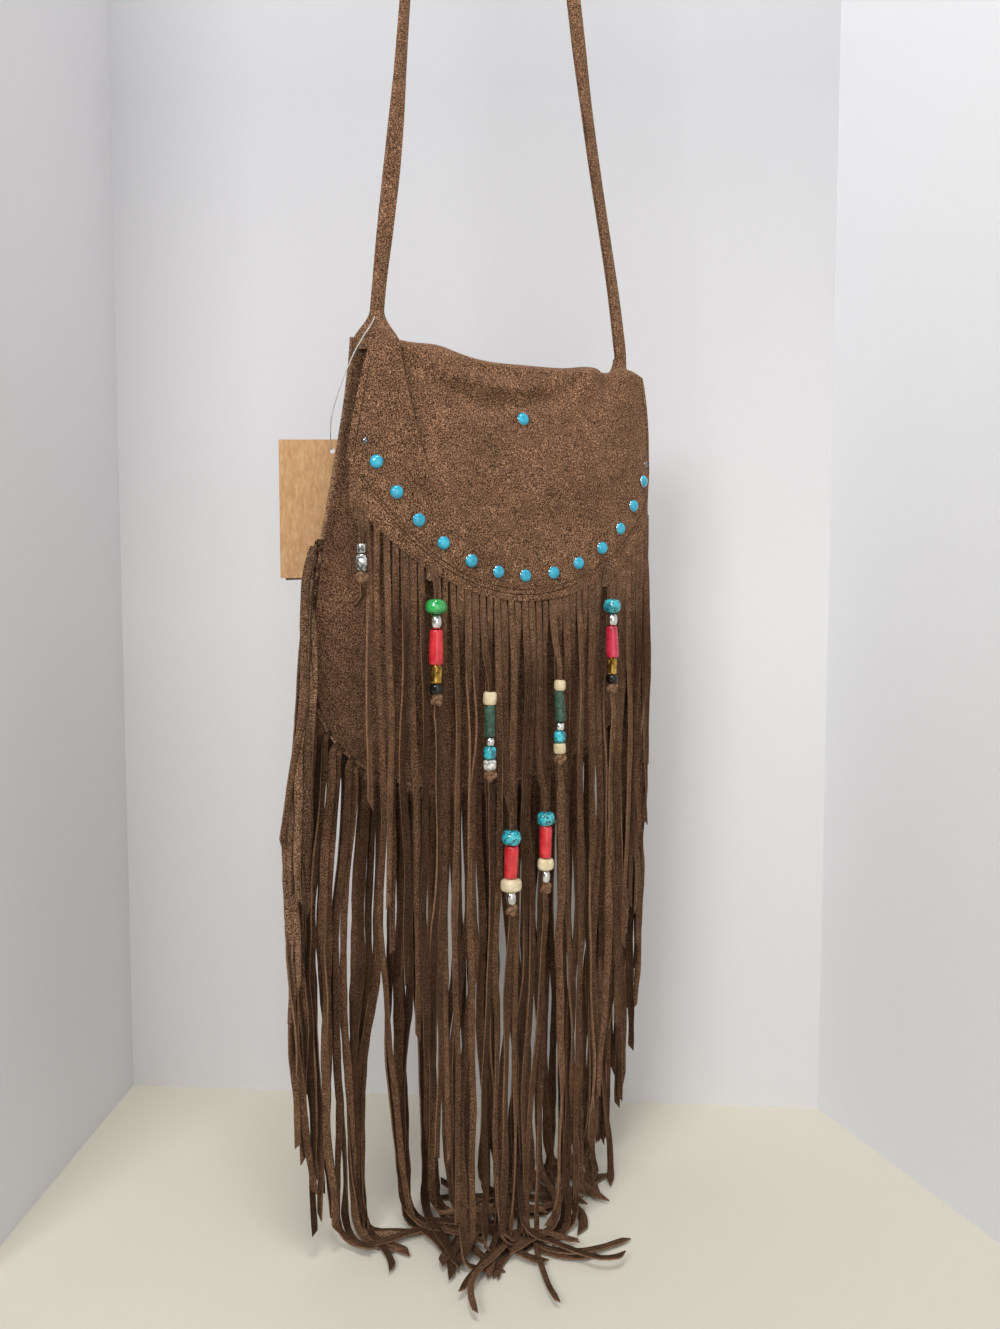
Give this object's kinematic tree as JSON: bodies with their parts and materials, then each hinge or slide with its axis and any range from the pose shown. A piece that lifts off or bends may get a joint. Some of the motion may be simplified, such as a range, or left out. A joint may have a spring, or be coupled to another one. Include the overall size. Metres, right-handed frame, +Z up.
{
  "type": "fringed suede shoulder bag",
  "caption": "Round-bottomed suede shoulder bag with a studded flap, long cut fringe with bead strings, and a narrow strap to hang from.",
  "frame": {"origin": "inside of the strap's top bend, where it lies on its hook", "axes": "+Z up, front of the bag towards -Y, +X to the viewer's right"},
  "size_m": [0.321, 0.2192, 1.2485],
  "materials": {
    "suede": "napped brown suede, matt",
    "suede_fringe": "napped brown suede cut into strands, matt",
    "turquoise_stone": "polished turquoise-coloured stone in a thin silver-coloured cup",
    "silver_metal": "polished",
    "gold_metal": "textured, polished",
    "turquoise_bead": "polished with dark veins",
    "green_glass": "gloss",
    "jade_bead": "satin, mottled",
    "red_bead": "satin",
    "black_bead": "gloss",
    "cream_bead": "satin, carved bone look",
    "white_bead": "polished with grey veins",
    "kraft_card": "bare kraft card",
    "dark_card": "matt dark card",
    "nylon_thread": "clear"
  },
  "bodies": {
    "root": {"front_panel": "suede", "back_panel": "suede", "flap": "suede", "flap_fringe": "suede_fringe", "body_fringe": "suede_fringe", "shoulder_strap": "suede", "edge_stud_01": "turquoise_stone", "edge_stud_02": "turquoise_stone", "edge_stud_03": "turquoise_stone", "edge_stud_04": "turquoise_stone", "edge_stud_05": "turquoise_stone", "edge_stud_06": "turquoise_stone", "edge_stud_07": "turquoise_stone", "edge_stud_08": "turquoise_stone", "edge_stud_09": "turquoise_stone", "edge_stud_10": "turquoise_stone", "edge_stud_11": "turquoise_stone", "edge_stud_12": "turquoise_stone", "edge_stud_13": "turquoise_stone", "closure_stud": "turquoise_stone", "left_rivet": "silver_metal", "right_rivet": "silver_metal", "snap_knob": "silver_metal", "snap_cup": "silver_metal", "outer_left_green_rondelle": "green_glass", "outer_left_silver_oval": "silver_metal", "outer_left_red_tube": "red_bead", "outer_left_gold_tube": "gold_metal", "outer_left_black_rondelle": "black_bead", "outer_right_turquoise_rondelle": "turquoise_bead", "outer_right_silver_oval": "silver_metal", "outer_right_crimson_tube": "red_bead", "outer_right_gold_tube": "gold_metal", "outer_right_black_rondelle": "black_bead", "middle_left_carved_barrel": "cream_bead", "middle_left_green_tube": "jade_bead", "middle_left_silver_ball": "silver_metal", "middle_left_turquoise_barrel": "turquoise_bead", "middle_left_white_rondelle": "white_bead", "middle_right_cream_barrel": "cream_bead", "middle_right_green_tube": "jade_bead", "middle_right_silver_ball": "silver_metal", "middle_right_turquoise_barrel": "turquoise_bead", "middle_right_carved_barrel": "cream_bead", "inner_left_turquoise_rondelle": "turquoise_bead", "inner_left_red_tube": "red_bead", "inner_left_cream_rondelle": "cream_bead", "inner_left_silver_oval": "silver_metal", "inner_right_turquoise_rondelle": "turquoise_bead", "inner_right_red_tube": "red_bead", "inner_right_cream_rondelle": "cream_bead", "inner_right_silver_oval": "silver_metal", "end_left_silver_tube": "silver_metal", "end_left_silver_oval": "silver_metal", "tag_front": "kraft_card", "tag_back": "dark_card", "tag_thread": "nylon_thread"}
  },
  "joints": []
}
